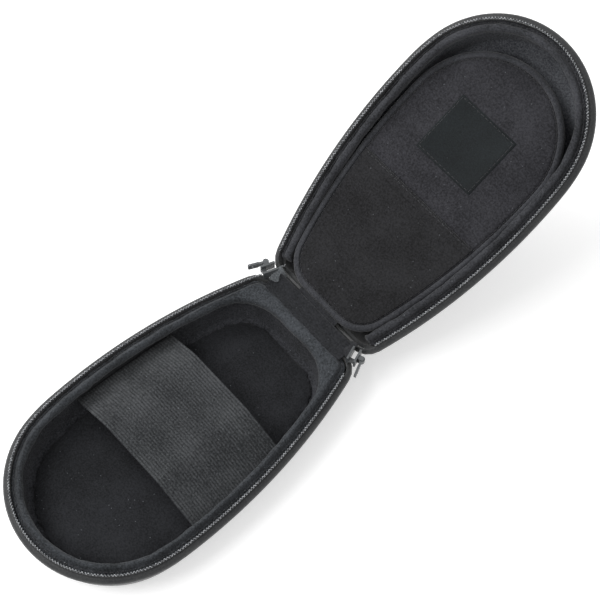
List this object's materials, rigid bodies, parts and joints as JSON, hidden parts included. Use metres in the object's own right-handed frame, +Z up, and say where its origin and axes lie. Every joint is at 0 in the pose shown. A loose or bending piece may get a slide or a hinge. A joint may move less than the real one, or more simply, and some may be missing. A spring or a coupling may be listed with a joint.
{
  "type": "harmonica case",
  "caption": "Zipped clamshell case for a harmonica, open: padded base with an elastic strap, lid with a bound flap, flat pocket and bare patch.",
  "frame": {"origin": "centre of the base's flat underside, on the surface that the case rests on", "axes": "+Z up, +Y from the base's round end to the hinge and on to the opened lid, +X to the right of somebody who looks along +Y"},
  "size_m": [0.1134, 0.3692, 0.1246],
  "materials": {
    "cover_cloth": "woven, slightly glossy",
    "foam": "closed-cell foam, matte",
    "plush_lining": "short plush",
    "rim_knit": "knit over a roll",
    "zip_tape": "woven tape",
    "zip_coil": "nylon coil",
    "hinge_cloth": "woven",
    "elastic": "ribbed elastic",
    "flap_cloth": "knit, matte",
    "stiff_board": "thin board",
    "binding_tape": "folded tape",
    "label_cloth": "woven patch, bare",
    "slider_metal": "black enamel, satin"
  },
  "bodies": {
    "base": {"base_outer_cover": "cover_cloth", "base_foam_shell": "foam", "base_lining": "plush_lining", "base_floor_pad": "plush_lining", "base_rim_band": "rim_knit", "base_zip_tape": "zip_tape", "base_zip_coil": "zip_coil", "base_hinge_cloth": "hinge_cloth", "elastic_strap": "elastic", "left_strap_anchor": "zip_tape", "right_strap_anchor": "zip_tape"},
    "lid": {"lid_outer_cover": "cover_cloth", "lid_foam_shell": "foam", "lid_lining": "plush_lining", "lid_rim_band": "rim_knit", "lid_zip_tape": "zip_tape", "lid_zip_coil": "zip_coil", "lid_hinge_cloth": "hinge_cloth"},
    "flap": {"flap_back_cloth": "flap_cloth", "flap_board": "stiff_board", "flap_front_cloth": "flap_cloth", "flap_binding": "binding_tape", "flap_hinge_cloth": "binding_tape", "pocket_panel": "flap_cloth", "pocket_hem": "flap_cloth", "label_patch": "label_cloth"},
    "left_slider": {"left_slider": "slider_metal"},
    "right_slider": {"right_slider": "slider_metal"},
    "left_pull": {"left_pull": "slider_metal"},
    "right_pull": {"right_pull": "slider_metal"}
  },
  "joints": [
    {"name": "lid_hinge", "type": "hinge", "parent": "base", "child": "lid", "pos_m": [0, 0.0969, 0.03], "axis": [1, 0, 0], "range_deg": [0, 150]},
    {"name": "flap_hinge", "type": "hinge", "parent": "lid", "child": "flap", "pos_m": [0, 0.10051, 0.02874], "axis": [1, 0, 0], "range_deg": [0, 5]},
    {"name": "left_slider_run", "type": "hinge", "parent": "base", "child": "left_slider", "pos_m": [0.29165, -0.01903, 0.03], "axis": [0, 0, 1], "range_deg": [0, 21.5]},
    {"name": "right_slider_run", "type": "hinge", "parent": "base", "child": "right_slider", "pos_m": [-0.29165, -0.01903, 0.03], "axis": [0, 0, -1], "range_deg": [0, 21.5]},
    {"name": "left_pull_pin", "type": "hinge", "parent": "left_slider", "child": "left_pull", "pos_m": [-0.0378, 0.09794, 0.03], "axis": [0, 0, -1], "range_deg": [0, 135]},
    {"name": "right_pull_pin", "type": "hinge", "parent": "right_slider", "child": "right_pull", "pos_m": [0.0378, 0.09794, 0.03], "axis": [0, 0, 1], "range_deg": [0, 135]}
  ]
}
